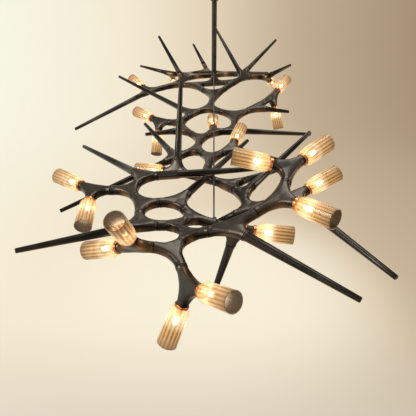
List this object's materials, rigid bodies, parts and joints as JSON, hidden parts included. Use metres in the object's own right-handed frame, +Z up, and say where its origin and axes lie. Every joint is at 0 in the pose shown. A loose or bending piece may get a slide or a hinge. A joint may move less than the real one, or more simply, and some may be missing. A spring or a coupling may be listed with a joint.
{
  "type": "branching chandelier",
  "caption": "Long net of three-armed dark bronze castings with tapered spikes and fluted smoked-glass lamps in copper rings, hung from a pole.",
  "frame": {"origin": "on the ceiling, at the pole's axis", "axes": "+Z up, +Y along the chandelier's length towards its far, high end, +X to the right of a person looking along +Y"},
  "size_m": [1.0247, 2.448, 0.8576],
  "materials": {
    "bronze_casting": "cast aluminium with a dark bronze patina, satin",
    "bronze_tube": "drawn tapered tube with a dark bronze patina, satin",
    "bronze_paint": "satin dark bronze lacquer on steel",
    "copper": "polished copper plating",
    "socket_ceramic": "glazed ceramic socket",
    "bulb_glass": "frosted capsule bulb, warm white",
    "smoked_glass": "fluted smoked-gold glass",
    "stay_steel": "darkened steel rod and clips",
    "screw_steel": "steel grub screw"
  },
  "bodies": {
    "ceiling_mount": {"ceiling_plate": "bronze_paint", "hanger_cup": "bronze_paint"},
    "fixture": {"back_centre_casting": "bronze_casting", "back_rail_casting": "bronze_casting", "back_right_casting": "bronze_casting", "cell_centre_casting": "bronze_casting", "cell_front_casting": "bronze_casting", "cell_left_casting": "bronze_casting", "cell_right_casting": "bronze_casting", "crown_castings": "bronze_casting", "front_lamp_bulbs": "bulb_glass", "front_lamp_glasses": "smoked_glass", "front_lamp_rings": "copper", "front_lamp_sockets": "socket_ceramic", "front_sleeve": "bronze_casting", "front_spikes": "bronze_tube", "left_cross_casting": "bronze_casting", "left_lamp_fork_casting": "bronze_casting", "left_spike_fork_casting": "bronze_casting", "middle_lamp_bulbs": "bulb_glass", "middle_lamp_glasses": "smoked_glass", "middle_lamp_rings": "copper", "middle_lamp_sockets": "socket_ceramic", "middle_left_castings": "bronze_casting", "middle_right_castings": "bronze_casting", "middle_spikes": "bronze_tube", "neck_castings": "bronze_casting", "neck_lamp_bulbs": "bulb_glass", "neck_lamp_glasses": "smoked_glass", "neck_lamp_rings": "copper", "neck_lamp_sockets": "socket_ceramic", "neck_spikes": "bronze_tube", "nose_cross_casting": "bronze_casting", "nose_left_fork_casting": "bronze_casting", "nose_tip_fork_casting": "bronze_casting", "pole": "bronze_paint", "pole_foot_casting": "bronze_casting", "pole_head": "bronze_paint", "rail_centre_casting": "bronze_casting", "rail_left_casting": "bronze_casting", "rail_spike_casting": "bronze_casting", "rear_castings": "bronze_casting", "rear_lamp_bulbs": "bulb_glass", "rear_lamp_glasses": "smoked_glass", "rear_lamp_rings": "copper", "rear_lamp_sockets": "socket_ceramic", "rear_spikes": "bronze_tube", "right_back_fork_casting": "bronze_casting", "right_lamp_arm_casting": "bronze_casting", "right_lamp_fork_casting": "bronze_casting", "stay_arm_clip": "stay_steel", "stay_pole_clip": "stay_steel", "stay_rod": "stay_steel", "tail_castings": "bronze_casting", "under_fork_casting": "bronze_casting", "waist_cross_casting": "bronze_casting"},
    "canopy_cover": {"canopy": "bronze_paint", "canopy_collar": "bronze_paint", "grub_screw": "screw_steel"}
  },
  "joints": [
    {"name": "pole_swivel", "type": "hinge", "parent": "ceiling_mount", "child": "fixture", "pos_m": [0, 0, -0.023], "axis": [0, 0, 1], "range_deg": [-175, 175]},
    {"name": "canopy_slide", "type": "slide", "parent": "fixture", "child": "canopy_cover", "axis": [0, 0, -1], "range_m": [0, 0.25]}
  ]
}
